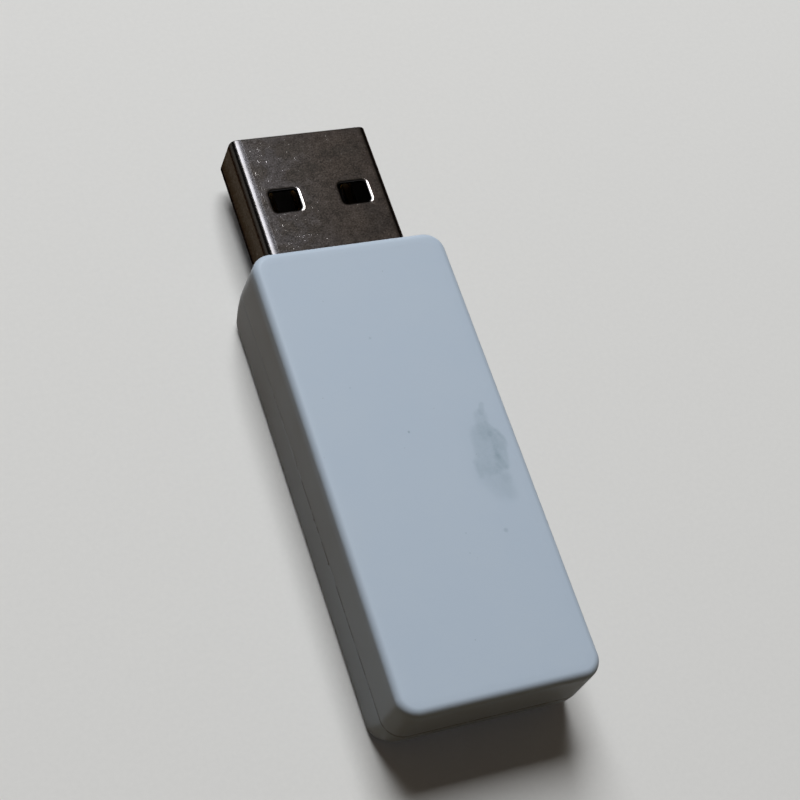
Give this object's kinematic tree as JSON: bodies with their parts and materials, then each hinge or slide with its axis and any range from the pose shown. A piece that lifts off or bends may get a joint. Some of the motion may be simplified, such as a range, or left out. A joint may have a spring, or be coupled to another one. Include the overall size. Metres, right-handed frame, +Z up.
{
  "type": "usb wireless receiver dongle",
  "caption": "Small light grey plastic radio receiver stick with a bare metal rectangular computer plug at one end, flat on its underside.",
  "frame": {"origin": "on the flat underside, below the middle of the whole part with its plug", "axes": "+X across the width, +Y along the plug towards its tip, +Z up from the underside"},
  "size_m": [0.0164, 0.0508, 0.008],
  "materials": {
    "cover_plastic": "fine satin moulded surface, light cool grey, with a faint smudge on the upper face",
    "plug_steel": "plated steel sheet, slightly mottled and scratched",
    "tongue_plastic": "black moulded",
    "contact_gold": "gold plated",
    "board_laminate": "green lacquer",
    "solder": "bright solder",
    "can_steel": "tinned sheet",
    "chip_plastic": "black moulded resin",
    "fuse_body": "green glass-cloth body",
    "ferrite": "dark grey sintered",
    "capacitor_ceramic": "tan fired ceramic",
    "resistor_coat": "black coat on white ceramic",
    "coil_ceramic": "pale fired ceramic",
    "track_copper": "copper under lacquer"
  },
  "bodies": {
    "root": {"top_cover": "cover_plastic", "bottom_cover": "cover_plastic", "plug_shell": "plug_steel", "plug_insulator": "tongue_plastic", "contact_power": "contact_gold", "contact_data_minus": "contact_gold", "contact_data_plus": "contact_gold", "contact_ground": "contact_gold", "circuit_board": "board_laminate", "solder_joints": "solder", "shield_can": "can_steel", "radio_chip": "chip_plastic", "radio_crystal": "can_steel", "memory_chip": "chip_plastic", "voltage_regulator": "chip_plastic", "surge_protector": "chip_plastic", "input_fuse": "fuse_body", "ferrite_bead": "ferrite", "capacitors": "capacitor_ceramic", "resistors": "resistor_coat", "antenna_coils": "coil_ceramic", "antenna_track": "track_copper"}
  },
  "joints": []
}
